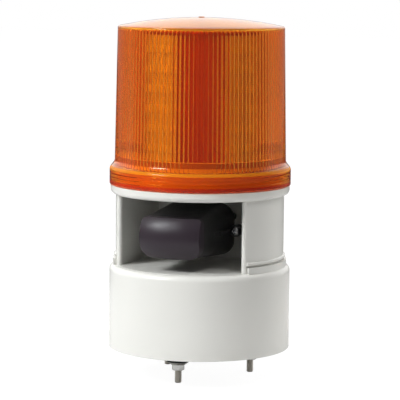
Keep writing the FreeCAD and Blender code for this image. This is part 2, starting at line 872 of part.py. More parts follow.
def diaphragm():
    back = diaphragm_y + diaphragm_thick
    return turned_y([(0, diaphragm_y - dome_rise), (coil_in_r, diaphragm_y), (diaphragm_r, diaphragm_y),
                     (diaphragm_r, back), (coil_in_r, back), (0, back - dome_rise)])


def voice_coil():
    return ring_y(coil_out_r, coil_in_r, diaphragm_y + diaphragm_thick, magnet_y + coil_overrun, 0, horn_z)


def top_plate():
    return ring_y(driver_r, top_plate_in_r, top_plate_y, magnet_y, 0, horn_z)


def plate_spacer():
    return ring_y(driver_r, diaphragm_r + fit_gap, rim_y + surround_thick, top_plate_y, 0, horn_z)


def magnet():
    return ring_y(driver_r, magnet_r_in, magnet_y, back_plate_y, 0, horn_z)


def pole_piece():
    return turned_y([(0, top_plate_y), (pole_r, top_plate_y), (pole_r, back_plate_y), (driver_r, back_plate_y),
                     (driver_r, back_y), (0, back_y)])


def cover_outline(y0, y1, radius):
    """Round cover with a lug to each side."""
    half_h = cover_lug_h / 2
    lugs = block(-cover_lug_x, cover_lug_x, y0, min(y1, y0 + cover_lug_thick), horn_z - half_h, horn_z + half_h)
    return joined([rod_y(radius, y0, y1, 0, horn_z), lugs])


def cover_holes(y0, y1):
    return [rod_y(board_screw[0] + screw_gap, y0, y1, side * cover_screw_x, horn_z) for side in (-1, 1)]


def driver_gasket():
    bore = rod_y(driver_r + fit_gap, horn_rear, cover_y, 0, horn_z)
    plate = cover_outline(horn_rear, cover_y, cover_r)
    return without(plate, [bore] + cover_holes(horn_rear, cover_y))


def driver_cover():
    cup = cover_outline(cover_y, cover_back_y, cover_r)
    bore = rod_y(driver_r + fit_gap, cover_y, back_y, 0, horn_z)
    return without(cup, [bore] + cover_holes(cover_y, cover_back_y))


def cover_screws():
    part = screw(board_screw)
    part.rotate(Vector(0, 0, 0), Vector(1, 0, 0), -90)
    return [moved(part, side * cover_screw_x, cover_y + cover_lug_thick, horn_z) for side in (-1, 1)]


# Sounder board in the drum

def sounder_board():
    board = on_board((sounder_board_x, sounder_board_y, board_thick), (0.0, 0.0), sounder_z)
    return without(board, [pilot(board_screw, sounder_z, sounder_top_z, at) for at in standoff_places])


def board_screws():
    return [moved(screw(board_screw), x, y, sounder_top_z) for x, y in standoff_places]


def transformer():
    return on_board(transformer_size, transformer_at, sounder_top_z)


def capacitors():
    return [disc(capacitor_r, sounder_top_z, sounder_top_z + capacitor_h, at) for at in capacitor_places]


def sound_chip():
    return on_board(chip_size, chip_at, sounder_top_z)


def terminal_block():
    return on_board(terminal_size, terminal_at, sounder_top_z)


def terminal_screws():
    z = sounder_top_z + terminal_size[2]
    pitch = terminal_size[1] / terminal_poles
    x, y = terminal_at
    places = [(x, y + (i - (terminal_poles - 1) / 2) * pitch) for i in range(terminal_poles)]
    return [disc(terminal_screw_r, z, z + terminal_screw_h, at) for at in places]


def lead_sockets():
    size = (socket_side, socket_side, socket_h)
    return [on_board(size, (x, lead_socket_y), sounder_top_z) for x in (lamp_lead_x, horn_lead_x)]


def volume_trimmer():
    return on_board((trimmer_side, trimmer_side, trimmer_h), trimmer_at, sounder_top_z)


def volume_rotor():
    z = sounder_top_z + trimmer_h + screw_gap
    slot = on_board((2 * rotor_r, rotor_slot_w, rotor_slot_depth), trimmer_at, z + rotor_h - rotor_slot_depth)
    return disc(rotor_r, z, z + rotor_h, trimmer_at).cut(slot)


def inner_lead(x, radius, z_end, y_end):
    """Lead from its socket, up through the housing's rear chamber, then forward to a face at y_end."""
    swing = (lead_y - lead_socket_y) / 2
    bend = math.sin(math.radians(45))
    z0 = sounder_top_z + socket_h
    z1 = z0 + lead_rise
    z2 = z1 + 2 * swing
    z3 = z_end - lead_bend_r
    middle = lead_socket_y + swing

    def at(y, z):
        return Vector(x, y, z)

    runs = [Part.LineSegment(at(lead_socket_y, z0), at(lead_socket_y, z1)),
            Part.Arc(at(lead_socket_y, z1), at(middle - swing * bend, z1 + swing * bend),
                     at(middle, z1 + swing)),
            Part.Arc(at(middle, z1 + swing), at(middle + swing * bend, z2 - swing * bend), at(lead_y, z2)),
            Part.LineSegment(at(lead_y, z2), at(lead_y, z3)),
            Part.Arc(at(lead_y, z3), at(lead_y - lead_bend_r * (1 - bend), z3 + lead_bend_r * bend),
                     at(lead_y - lead_bend_r, z_end)),
            Part.LineSegment(at(lead_y - lead_bend_r, z_end), at(y_end, z_end))]
    path = Part.Wire([run.toShape() for run in runs])
    section = Part.Wire(Part.makeCircle(radius, at(lead_socket_y, z0), Vector(0, 0, 1)))
    return path.makePipeShell([section], True, True)


def lamp_harness():
    z_end = driver_top_z + driver_socket[2] / 2
    return inner_lead(lamp_lead_x, lamp_lead_r, z_end, driver_socket_y + driver_socket[1] / 2)


def horn_harness():
    return inner_lead(horn_lead_x, horn_lead_r, horn_lead_z, cover_back_y)


single_parts = (base_shell, bottom_plate, plate_gasket, cable_grommet, horn_housing, lens_seat, lens_seal, lens,
                lamp_deck, led_core, core_cap, core_rod, core_nut, driver_board, horn_cap, horn_body,
                surround_ring, plate_spacer, diaphragm, voice_coil, top_plate, magnet, pole_piece,
                driver_gasket, driver_cover, sounder_board, transformer, sound_chip, terminal_block,
                volume_trimmer, volume_rotor, lamp_harness, horn_harness)
grouped_parts = (plate_screws, standoffs, mounting_studs, stud_bushes, stud_washers, stud_nuts, housing_screws,
                 seat_screws, lamp_deck_screws, leds, driver_parts, driver_board_screws, horn_screws,
                 cover_screws, board_screws, capacitors, terminal_screws, lead_sockets)

os.makedirs("parts", exist_ok=True)
for make in single_parts:
    save(make.__name__, [make()])
for make in grouped_parts:
    save(make.__name__, make())
for number, turn in enumerate(board_turns, 1):
    save("led_board_%d" % number, [led_board(turn)])
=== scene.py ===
import json
import math

import bpy
from mathutils import Matrix, Vector


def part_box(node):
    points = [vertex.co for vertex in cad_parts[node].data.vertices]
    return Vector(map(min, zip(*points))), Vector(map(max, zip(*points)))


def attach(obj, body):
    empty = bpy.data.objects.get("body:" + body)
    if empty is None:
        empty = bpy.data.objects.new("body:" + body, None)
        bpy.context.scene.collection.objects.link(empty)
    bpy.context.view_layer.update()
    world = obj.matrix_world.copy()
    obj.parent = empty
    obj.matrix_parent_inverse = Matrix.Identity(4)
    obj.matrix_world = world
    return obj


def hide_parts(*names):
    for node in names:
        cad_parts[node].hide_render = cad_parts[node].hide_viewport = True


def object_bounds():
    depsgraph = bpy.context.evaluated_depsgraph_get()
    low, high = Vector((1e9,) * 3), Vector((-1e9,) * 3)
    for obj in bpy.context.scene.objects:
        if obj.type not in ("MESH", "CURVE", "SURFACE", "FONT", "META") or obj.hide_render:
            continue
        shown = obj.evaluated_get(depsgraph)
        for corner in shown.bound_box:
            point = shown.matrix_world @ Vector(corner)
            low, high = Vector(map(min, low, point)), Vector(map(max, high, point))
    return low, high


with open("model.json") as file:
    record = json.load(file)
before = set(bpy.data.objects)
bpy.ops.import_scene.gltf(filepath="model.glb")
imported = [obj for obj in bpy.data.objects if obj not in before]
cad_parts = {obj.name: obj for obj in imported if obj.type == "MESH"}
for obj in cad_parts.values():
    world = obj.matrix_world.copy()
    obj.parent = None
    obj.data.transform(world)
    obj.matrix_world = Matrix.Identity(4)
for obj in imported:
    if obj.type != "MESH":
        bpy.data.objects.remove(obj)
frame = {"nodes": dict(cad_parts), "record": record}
cad_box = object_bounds()
nodes = frame["nodes"]

# Beacon sounder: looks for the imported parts. Metres and degrees, +Z up, the front looks along -Y.
MM = 0.001
UP = (0.0, 0.0, 1.0)
WHITE = (1.0, 1.0, 1.0)

# Camera of the photograph: in front and a little to the right, slightly above the middle
CAMERA_TURN = 22.5
CAMERA_REACH = 1362 * MM
CAMERA_HEIGHT = 266.3 * MM
CAMERA_AIM_Z = 101.9 * MM
CAMERA_ROLL = 0.49
CAMERA_LENS = 177.3
CAMERA_SENSOR = 36.0
CAMERA_NEAR = 0.05
CAMERA_FAR = 50.0

# Lens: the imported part's outline, with ribs that run lower than its own, down to the shoulder
RIBS = 120
RIB_STEPS = 6
RIB_DEPTH = 1.0 * MM
RIB_END = 2.0 * MM
RIB_FADES = (0.0, 0.08, 0.25, 0.5, 0.75, 1.0)
RIB_FOOT = 0.6 * MM
RIB_HEAD = 1.6 * MM
SKIRT_H = 11.3 * MM
SKIRT_WALL = 3.2 * MM
SKIRT_BEVEL = 0.5 * MM
SKIRT_LIP = 0.7 * MM
SKIRT_LIP_H = 0.9 * MM
LIP_BAND = 3.0 * MM
SHOULDER_H = 4.5 * MM
SHOULDER_IN = 3.5 * MM
SHOULDER_SOFT = 0.7 * MM
SHOULDER_LEAN = SHOULDER_SOFT * SHOULDER_IN / SHOULDER_H
WALL_H = 93.1 * MM
WALL_TAPER = 1.8 * MM
WALL = 3.0 * MM
ROOF = 1.8 * MM
DOME_H = 6.1 * MM
DOME_ROWS = 14
RIM_ROUND = 1.2 * MM
RIM_ARC = 78
RIM_STEPS = 7
NUB_R = 2.2 * MM
NUB_H = 0.5 * MM

# Shares of the nub's radius: where the dome's even rows end, and where the nub starts to rise
NUB_REACH = 1.2
NUB_FOOT = 1.05

# Shares of the nub's radius and height along its rounded edge
NUB_ROUND = ((1.0, 0.5), (0.85, 0.9), (0.6, 1.0))

# Share of a bevel by which the middle point of a rounded corner is set in
CORNER_CUT = 0.3

# Radius of the small ring that closes a skin at its axis
AXIS_R = 0.02 * MM

# Thread between lens and seat
LENS_PITCH = 2.5 * MM
LENS_THREAD = 0.22 * MM
LENS_ROOT = 0.5 * MM
SEAT_THREAD_H = 9.0 * MM
SEAT_SEGMENTS = 240
SEAL_REACH = 2.5 * MM
THREAD_ROWS = 6

# Studs
STUD_R = 2.5 * MM
STUD_PITCH = 0.8 * MM
STUD_THREAD = 0.43 * MM
STUD_CHAMFER = 0.5 * MM
STUD_HEAD_FLATS = 8.0 * MM
STUD_HEAD_H = 3.5 * MM
STUD_SEGMENTS = 36

# Screws: tip and foot are shares of the shank's and the head's radius, crown and edge of the head's height
SCREW_SHANK_R = 1.5 * MM
SCREW_TIP = 0.7
SCREW_HEAD_H = 2.0 * MM
SCREW_CROWN = 0.55
SCREW_FOOT = 0.97
SCREW_EDGE = 0.12
SCREW_HEAD_ROWS = 20
SCREW_SEGMENTS = 48
RECESS_DEPTH = 1.2 * MM
RECESS_REACH = 1.9 * MM
RECESS_HALF = 0.45 * MM
RECESS_MOUTH = RECESS_HALF * 1.25
RECESS_SIDE = RECESS_HALF * 0.5
RECESS_END = RECESS_HALF * 0.8

# Carried-over nodes: decimals to which corners count as one, and the angle from which edges stay sharp
SAME_DECIMALS = 6
SHARP_ANGLE = 28

# Range that most noise values lie in
NOISE_RANGE = (0.3, 0.7)

# Plastic, boards and metal: noise scales in cells to the metre, drift of tone and gloss, depth of relief
TONE_SCALE = 25.0
GLOSS_SCALE = 150.0
GLOSS_BELOW = 0.04
GLOSS_ABOVE = 0.05
STREAK_STRETCH = (1.0, 1.0, 0.01)
STREAK_DEPTH = 0.03 * MM
METAL_SCALE = 120.0
METAL_TONE = 0.84
METAL_GLOSS = (0.75, 1.3)
METAL_EDGE = 0.15 * MM

# Amber: flow marks, gloss, refraction, share of the cloud that lets light through, tints of that light
FLOW_STRETCH = (1.0, 1.0, 0.25)
FLOW_SCALE = 60.0
FLOW_CLEAR = 0.95
FLOW_CLOUD = 0.9
AMBER_SCALE = 400.0
AMBER_GLOSS = (0.03, 0.06)
AMBER_IOR = 1.40
CLOUD_THROUGH = 0.35
PALE_SHADE = (0.96, 0.80, 0.42)
DEEP_SHADE = (0.86, 0.58, 0.30)

# Lamp deck: a darker ring of painted shade round its rim, and its grain
SHADE_BAND_H = 4.2 * MM
SHADE_BAND_BLEND = 0.5 * MM
DECK_GRAIN = 900.0
DECK_GLOSS = 0.05
DECK_DEPTH = 0.03 * MM
DECK_EDGE = 0.25 * MM


# Mesh helpers

def add_object(name, verts, faces):
    """Smooth-shaded mesh object in the scene."""
    mesh = bpy.data.meshes.new(name)
    mesh.from_pydata(verts, [], faces)
    mesh.update()
    mesh.polygons.foreach_set("use_smooth", [True] * len(mesh.polygons))
    obj = bpy.data.objects.new(name, mesh)
    bpy.context.scene.collection.objects.link(obj)
    return obj


def lathe(rows, segments, at=Matrix()):
    """Closed skin round an axis, last row joined to first. A row is (r, z), or a function of the turn."""
    verts = []
    for row in rows:
        for i in range(segments):
            turn = 2 * math.pi * i / segments
            r, z = row(turn) if callable(row) else row
            verts.append(at @ Vector((r * math.sin(turn), -r * math.cos(turn), z)))
    faces = []
    for level in range(len(rows)):
        low = level * segments
        high = (level + 1) % len(rows) * segments
        for i in range(segments):
            j = (i + 1) % segments
            faces.append((low + i, low + j, high + j, high + i))
    return verts, faces


def merged(skins):
    """Several skins as one list of points and one of faces."""
    verts = []
    faces = []
    for more_verts, more_faces in skins:
        start = len(verts)
        verts += more_verts
        faces += [tuple(start + i for i in face) for face in more_faces]
    return verts, faces


def arc_points(centre, radius, start, end, steps):
    """(r, z) points on an arc between two angles in degrees."""
    angles = [math.radians(start + (end - start) * i / steps) for i in range(steps + 1)]
    return [(centre[0] + radius * math.cos(a), centre[1] + radius * math.sin(a)) for a in angles]


def solids_of(name):
    """(lowest corner, highest corner) of each separate solid of a node."""
    mesh = nodes[name].data
    spot = [tuple(round(c, SAME_DECIMALS) for c in v.co) for v in mesh.vertices]
    group = {key: key for key in spot}

    def leader(key):
        while group[key] != key:
            key = group[key]
        return key

    for face in mesh.polygons:
        first = leader(spot[face.vertices[0]])
        for corner in face.vertices[1:]:
            group[leader(spot[corner])] = first
    found = {}
    for key in group:
        found.setdefault(leader(key), []).append(key)
    return [(Vector(map(min, zip(*keys))), Vector(map(max, zip(*keys)))) for keys in found.values()]


# Node helpers

def feed(tree, value, socket):
    """Links a node's output to a socket, or sets the socket to a number or a colour."""
    if isinstance(value, bpy.types.NodeSocket):
        tree.links.new(value, socket)
    elif isinstance(value, tuple):
        socket.default_value = (*value, 1.0)
    else:
        socket.default_value = value


def maths(tree, operation, first, second):
    """Result of an operation on two values, each a number or a node's output."""
    made = tree.nodes.new("ShaderNodeMath")
    made.operation = operation
    for value, socket in zip((first, second), made.inputs):
        feed(tree, value, socket)
    return made.outputs[0]


def vector_maths(tree, operation, vector, other):
    """Number that an operation gives for a node's vector and a fixed one."""
    made = tree.nodes.new("ShaderNodeVectorMath")
    made.operation = operation
    tree.links.new(vector, made.inputs[0])
    made.inputs[1].default_value = other
    return made.outputs["Value"]


def along(tree, vector, axis):
    """How far a vector reaches along an axis."""
    return vector_maths(tree, "DOT_PRODUCT", vector, axis)


def distance(tree, vector, centre):
    """How far a place is from a centre."""
    return vector_maths(tree, "DISTANCE", vector, centre)


def ramp(tree, value, source, target, ends="SMOOTHSTEP"):
    """Maps one range to another, with soft ends unless ends is LINEAR."""
    made = tree.nodes.new("ShaderNodeMapRange")
    made.interpolation_type = ends
    made.inputs["From Min"].default_value, made.inputs["From Max"].default_value = source
    made.inputs["To Min"].default_value, made.inputs["To Max"].default_value = target
    tree.links.new(value, made.inputs["Value"])
    return made.outputs["Result"]


def place(tree, stretch=(1.0, 1.0, 1.0)):
    """Object coordinates, stretched along the axes."""
    coords = tree.nodes.new("ShaderNodeTexCoord")
    mapping = tree.nodes.new("ShaderNodeMapping")
    mapping.inputs["Scale"].default_value = stretch
    tree.links.new(coords.outputs["Object"], mapping.inputs["Vector"])
    return mapping.outputs["Vector"]


def noise(tree, vector, scale, detail=3.0, rough=0.5):
    """Noise value at a place, scale cells to the metre."""
    made = tree.nodes.new("ShaderNodeTexNoise")
    made.inputs["Scale"].default_value = scale
    made.inputs["Detail"].default_value = detail
    made.inputs["Roughness"].default_value = rough
    tree.links.new(vector, made.inputs["Vector"])
    return made.outputs["Fac"]


def spread(tree, value, low, high):
    """Maps the usual range of a noise value to another range."""
    return ramp(tree, value, NOISE_RANGE, (low, high), "LINEAR")


def blend_colours(tree, share, first, second):
    """Colour between two others, each a colour or a node's output."""
    made = tree.nodes.new("ShaderNodeMixRGB")
    for value, socket in zip((share, first, second), made.inputs):
        feed(tree, value, socket)
    return made.outputs["Color"]


def mix_shaders(tree, share, first, second):
    """Shader between two others; share is how much the second one counts."""
    made = tree.nodes.new("ShaderNodeMixShader")
    for value, socket in zip((share, first, second), made.inputs):
        feed(tree, value, socket)
    return made.outputs[0]


def bump(tree, height, depth, soften):
    """Normal of a fine relief; soften is the radius that sharp edges seem to have."""
    made = tree.nodes.new("ShaderNodeBump")
    made.inputs["Distance"].default_value = depth
    tree.links.new(height, made.inputs["Height"])
    if soften:
        edge = tree.nodes.new("ShaderNodeBevel")
        edge.inputs["Radius"].default_value = soften
        tree.links.new(edge.outputs["Normal"], made.inputs["Normal"])
    return made.outputs["Normal"]


def scaled(colour, factor):
    """Colour made darker or paler, up to white."""
    return tuple(min(1.0, c * factor) for c in colour)


def material(name):
    """New material with its node tree and its shader's inputs."""
    mat = bpy.data.materials.new(name)
    mat.use_nodes = True
    tree = mat.node_tree
    return mat, tree, tree.nodes["Principled BSDF"].inputs


# Kinds of material

def moulded(name, colour, rough, vary=0.03, grain=1800.0, depth=0.02 * MM, soften=0.25 * MM, shine=0.5):
    """Injection-moulded plastic: slow tone drift, fine spark-eroded grain, uneven gloss."""
    mat, tree, inputs = material(name)
    where = place(tree)
    drift = noise(tree, where, TONE_SCALE, detail=2.0)
    gloss = noise(tree, where, GLOSS_SCALE, detail=4.0)
    relief = noise(tree, where, grain, detail=2.0)
    tone = blend_colours(tree, drift, scaled(colour, 1 - vary), scaled(colour, 1 + vary))
    feed(tree, tone, inputs["Base Color"])
    feed(tree, spread(tree, gloss, rough - GLOSS_BELOW, rough + GLOSS_ABOVE), inputs["Roughness"])
    feed(tree, bump(tree, relief, depth, soften), inputs["Normal"])
    feed(tree, shine, inputs["Specular IOR Level"])
    return mat


def streaked(name, dark, pale, rough, scale):
    """Upright streaks of two tones: tracks under a board's mask, or the marks of an extruded face."""
    mat, tree, inputs = material(name)
    streaks = spread(tree, noise(tree, place(tree, STREAK_STRETCH), scale, detail=2.0), 0.0, 1.0)
    feed(tree, blend_colours(tree, streaks, dark, pale), inputs["Base Color"])
    feed(tree, bump(tree, streaks, STREAK_DEPTH, 0.0), inputs["Normal"])
    feed(tree, rough, inputs["Roughness"])
    return mat


def shade_banded(name, colour, shade_band, corner, rough):
    """Moulded dish with a darker ring of painted shade round the outside of its rim; corner is the highest
    one of its box.
    """
    mat, tree, inputs = material(name)
    where = place(tree)
    reach = distance(tree, place(tree, (1.0, 1.0, 0.0)), (0.0, 0.0, 0.0))
    shade_rim_mask = ramp(tree, reach, (corner.x - SHADE_BAND_BLEND, corner.x), (0.0, 1.0))
    low = corner.z - SHADE_BAND_H
    shade_height_mask = ramp(tree, along(tree, where, UP), (low - SHADE_BAND_BLEND, low + SHADE_BAND_BLEND), (0.0, 1.0))
    share = maths(tree, "MULTIPLY", shade_rim_mask, shade_height_mask)
    grain = noise(tree, where, DECK_GRAIN)
    # Painted shade: the rim's outside gets a darker colour that stands in for the shade at the rim's top
    # edge
    feed(tree, blend_colours(tree, share, colour, shade_band), inputs["Base Color"])
    feed(tree, spread(tree, grain, rough - DECK_GLOSS, rough + DECK_GLOSS), inputs["Roughness"])
    feed(tree, bump(tree, grain, DECK_DEPTH, DECK_EDGE), inputs["Normal"])
    return mat


def metal(name, colour, rough, scale, stretch=(1.0, 1.0, 1.0), depth=0.01 * MM):
    """Bare or plated metal with fine marks, drawn along one direction where they are stretched."""
    mat, tree, inputs = material(name)
    marks = noise(tree, place(tree, stretch), scale, detail=4.0, rough=0.6)
    tone = blend_colours(tree, noise(tree, place(tree), METAL_SCALE), scaled(colour, METAL_TONE), colour)
    smooth, dull = METAL_GLOSS
    feed(tree, tone, inputs["Base Color"])
    feed(tree, spread(tree, marks, rough * smooth, rough * dull), inputs["Roughness"])
    feed(tree, bump(tree, marks, depth, METAL_EDGE), inputs["Normal"])
    feed(tree, 1.0, inputs["Metallic"])
    return mat


def amber(name, clear, body, cloud, shade=PALE_SHADE):
    """Clear amber plastic, a little cloudy, with faint flow marks. Shade tints the light that it lets by."""
    mat, tree, inputs = material(name)
    where = place(tree, FLOW_STRETCH)
    flow = noise(tree, where, FLOW_SCALE)
    gloss = noise(tree, where, AMBER_SCALE, detail=2.0)
    feed(tree, blend_colours(tree, flow, scaled(clear, FLOW_CLEAR), clear), inputs["Base Color"])
    feed(tree, spread(tree, gloss, *AMBER_GLOSS), inputs["Roughness"])
    feed(tree, 1.0, inputs["Transmission Weight"])
    feed(tree, AMBER_IOR, inputs["IOR"])

    tone = blend_colours(tree, flow, scaled(body, FLOW_CLOUD), body)
    colours = {"Diffuse": tone, "Translucent": tone, "Transparent": shade}
    made = {}
    for kind, colour in colours.items():
        shader = tree.nodes.new("ShaderNodeBsdf" + kind)
        feed(tree, colour, shader.inputs["Color"])
        made[kind] = shader.outputs[0]
    glass = tree.nodes["Principled BSDF"].outputs[0]
    haze = mix_shaders(tree, CLOUD_THROUGH, made["Diffuse"], made["Translucent"])
    path = tree.nodes.new("ShaderNodeLightPath")
    seen = mix_shaders(tree, cloud, glass, haze)
    whole = mix_shaders(tree, path.outputs["Is Shadow Ray"], seen, made["Transparent"])
    feed(tree, whole, tree.nodes["Material Output"].inputs["Surface"])
    return mat


# Materials: the record's slots, the zones of the lens, and the finishes of two single nodes
PLASTICS = {
    "housing_white": dict(colour=(0.80, 0.79, 0.745), rough=0.22, depth=0.004 * MM, soften=0.3 * MM),
    "horn_dark": dict(colour=(0.026, 0.017, 0.024), rough=0.38, vary=0.10, grain=2600.0, depth=0.03 * MM,
                      soften=0.4 * MM, shine=0.38),
    "horn_black": dict(colour=(0.012, 0.011, 0.012), rough=0.42, vary=0.15, grain=2400.0, depth=0.04 * MM,
                       soften=0.4 * MM),
    "black_plastic": dict(colour=(0.02, 0.018, 0.018), rough=0.5, vary=0.15),
    "rubber_black": dict(colour=(0.014, 0.014, 0.014), rough=0.72, vary=0.2, grain=1500.0, depth=0.05 * MM),
    "led_lens": dict(colour=(0.66, 0.60, 0.34), rough=0.2, vary=0.06),
    "circuit_green": dict(colour=(0.02, 0.13, 0.05), rough=0.3, vary=0.1),
    "magnet_grey": dict(colour=(0.06, 0.06, 0.065), rough=0.6, vary=0.15, grain=900.0, depth=0.08 * MM),
    "diaphragm_film": dict(colour=(0.42, 0.30, 0.12), rough=0.4, vary=0.08),
    "terminal_green": dict(colour=(0.03, 0.20, 0.08), rough=0.4, vary=0.08),
    "trimmer_blue": dict(colour=(0.02, 0.06, 0.28), rough=0.35, vary=0.08),
    "lead_grey": dict(colour=(0.10, 0.10, 0.105), rough=0.5, vary=0.1),
}
METALS = {
    "stud_steel": dict(colour=(0.72, 0.68, 0.62), rough=0.34, scale=900.0, stretch=(1.0, 1.0, 6.0)),
    "plated_steel": dict(colour=(0.66, 0.65, 0.63), rough=0.18, scale=1200.0, depth=0.005 * MM),
    "dark_zinc": dict(colour=(0.42, 0.42, 0.43), rough=0.14, scale=1200.0, depth=0.005 * MM),
    "coil_copper": dict(colour=(0.70, 0.34, 0.16), rough=0.3, scale=700.0, stretch=(1.0, 12.0, 1.0)),
}
STREAKS = {
    "core_metal": dict(dark=(0.10, 0.005, 0.02), pale=(0.50, 0.03, 0.06), rough=0.45, scale=160.0),
    "led_board": dict(dark=(0.18, 0.13, 0.08), pale=(0.66, 0.60, 0.50), rough=0.42, scale=200.0),
}
AMBERS = {
    "lens_amber": dict(clear=(0.88, 0.50, 0.05), body=(0.75, 0.10, 0.008), cloud=0.04),
    "lens_amber_roof": dict(clear=(0.94, 0.60, 0.20), body=(0.80, 0.45, 0.20), cloud=0.35),
    "lens_amber_ribs": dict(clear=(0.92, 0.40, 0.03), body=(0.70, 0.05, 0.010), cloud=0.15),
    "lens_amber_thread": dict(clear=(0.64, 0.10, 0.01), body=(0.60, 0.04, 0.010), cloud=0.14,
                              shade=DEEP_SHADE),
    # Painted highlight: the shoulder's rounded edge is milky and brighter orange, so that it lights up as a
    # bright line where the clear lens refracts light
    "lens_amber_shoulder": dict(clear=(0.92, 0.50, 0.05), body=(1.0, 0.40, 0.02), cloud=0.65),
    "lens_amber_lip": dict(clear=(0.72, 0.10, 0.03), body=(0.72, 0.05, 0.02), cloud=0.25, shade=DEEP_SHADE),
}
# The lamp deck's rim carries a ring of painted shade
SHADE_BANDED = {
    "lamp_deck": dict(colour=(0.74, 0.54, 0.30), shade_band=(0.34, 0.12, 0.06), corner=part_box("lamp_deck")[1],
                      rough=0.5),
}
KINDS = (moulded, PLASTICS), (metal, METALS), (streaked, STREAKS), (amber, AMBERS), (shade_banded, SHADE_BANDED)
LOOKS = {look: kind(look, **values) for kind, table in KINDS for look, values in table.items()}

for part in frame["record"]["subparts"]:
    obj = nodes[part["node"]]
    obj.data.materials.clear()
    obj.data.materials.append(LOOKS[part["material_slot"]])
nodes["lamp_deck"].data.materials[0] = LOOKS["lamp_deck"]


def finish_piece(obj, body, slot, replaced=(), looks=()):
    """Puts a piece on its body and gives it the looks, or its slot's own where none are named."""
    for look in looks or [slot]:
        obj.data.materials.append(LOOKS[look])
    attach(obj, body)
    if replaced:
        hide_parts(*replaced)


# Threads

def thread_wave(turn, z, pitch):
    """0 in the root of a thread, 1 on its crest."""
    phase = (z / pitch - turn / (2 * math.pi)) % 1.0
    return 1.0 - abs(2.0 * phase - 1.0)


def thread_rows(r, depth, pitch, z0, z1):
    """Rows of a thread of the given root radius and depth from z0 to z1."""
    count = max(2, round(THREAD_ROWS * abs(z1 - z0) / pitch))
    heights = [z0 + (z1 - z0) * i / count for i in range(count + 1)]
    return [lambda turn, z=z: (r + depth * thread_wave(turn, z, pitch), z) for z in heights]


# Lens with rounded ribs inside and a threaded skirt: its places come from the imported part's box
lens_low, lens_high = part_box("lens")
SKIRT_R = lens_high.x
SKIRT_Z = lens_low.z
SHOULDER_Z = SKIRT_Z + SKIRT_H
FOOT_R = SKIRT_R - SHOULDER_IN
FOOT_Z = SHOULDER_Z + SHOULDER_H
RIM_R = FOOT_R - WALL_TAPER
RIM_Z = FOOT_Z + WALL_H
DOME_R = (RIM_R ** 2 + DOME_H ** 2) / (2 * DOME_H)
APEX_Z = RIM_Z + DOME_H
DOME_CENTRE = APEX_Z - DOME_R
RIB_LOW = SHOULDER_Z + RIB_FOOT
RIB_HIGH = RIM_Z - RIB_HEAD


def wall_r(z):
    """Outer radius of the tapered wall at a height."""
    return FOOT_R + (RIM_R - FOOT_R) * (z - FOOT_Z) / WALL_H


def dome(radius, r):
    """(r, z) point of the dome's outside or inside, which differ in radius."""
    return r, DOME_CENTRE + math.sqrt(radius ** 2 - r ** 2)


def rib_row(z, depth):
    """Row round the inside of the wall: crests of ribs on it, valleys of a depth between them."""
    def row(turn):
        phase = (turn * RIBS / (2 * math.pi)) % 1.0
        return wall_r(z) - WALL + depth * (2.0 * phase - 1.0) ** 2, z
    return row


def lens_lip():
    """Bevelled lower edge of the skirt, outside."""
    return [
        (SKIRT_R - SKIRT_BEVEL, SKIRT_Z),
        (SKIRT_R - SKIRT_BEVEL * CORNER_CUT, SKIRT_Z + SKIRT_BEVEL * CORNER_CUT),
        (SKIRT_R, SKIRT_Z + SKIRT_BEVEL),
    ]


def lens_shoulder():
    """Rounded lower edge of the shoulder, outside, which carries the painted highlight."""
    return [
        (SKIRT_R, SHOULDER_Z - SHOULDER_SOFT),
        (SKIRT_R - SHOULDER_LEAN * CORNER_CUT, SHOULDER_Z),
        (SKIRT_R - SHOULDER_LEAN, SHOULDER_Z + SHOULDER_SOFT),
    ]


def lens_outside():
    """Slope of the shoulder, wall, rounded rim, dome and nub, up to the axis."""
    rows = [
        (SKIRT_R - 2 * SHOULDER_LEAN, SHOULDER_Z + 2 * SHOULDER_SOFT),
        (FOOT_R + SHOULDER_LEAN, FOOT_Z - SHOULDER_SOFT),
        (FOOT_R + SHOULDER_LEAN * CORNER_CUT, FOOT_Z),
        (wall_r(FOOT_Z + SHOULDER_SOFT), FOOT_Z + SHOULDER_SOFT),
    ]
    corner_r = RIM_R - RIM_ROUND
    corner_z = dome(DOME_R, corner_r)[1] - RIM_ROUND
    rows += arc_points((corner_r, corner_z), RIM_ROUND, 0, RIM_ARC, RIM_STEPS)
    for i in range(1, DOME_ROWS + 1):
        rows.append(dome(DOME_R, corner_r + (NUB_R * NUB_REACH - corner_r) * i / DOME_ROWS))
    rows.append(dome(DOME_R, NUB_R * NUB_FOOT))
    rows += [(NUB_R * r, APEX_Z + NUB_H * z) for r, z in NUB_ROUND]
    rows.append((AXIS_R, APEX_Z + NUB_H))
    return rows


def lens_roof():
    """Inside of the dome, from the axis to the heads of the ribs."""
    head_r = wall_r(RIB_HIGH) - WALL
    radii = [AXIS_R + (head_r - AXIS_R) * i / DOME_ROWS for i in range(DOME_ROWS + 1)]
    return [dome(DOME_R - ROOF, r) for r in radii]


def lens_ribs():
    """Inside of the wall, down to the shoulder. The valleys between the ribs fade out at both ends."""
    heights = [(RIB_HIGH - RIB_END * fade, fade) for fade in RIB_FADES]
    heights += [(RIB_LOW + RIB_END * fade, fade) for fade in reversed(RIB_FADES)]
    rows = [rib_row(z, RIB_DEPTH * math.sqrt(1 - (1 - fade) ** 2)) for z, fade in heights]
    foot_in = FOOT_R - WALL
    rows += [(foot_in, SHOULDER_Z + SHOULDER_SOFT), (foot_in + SHOULDER_SOFT, SHOULDER_Z)]
    return rows


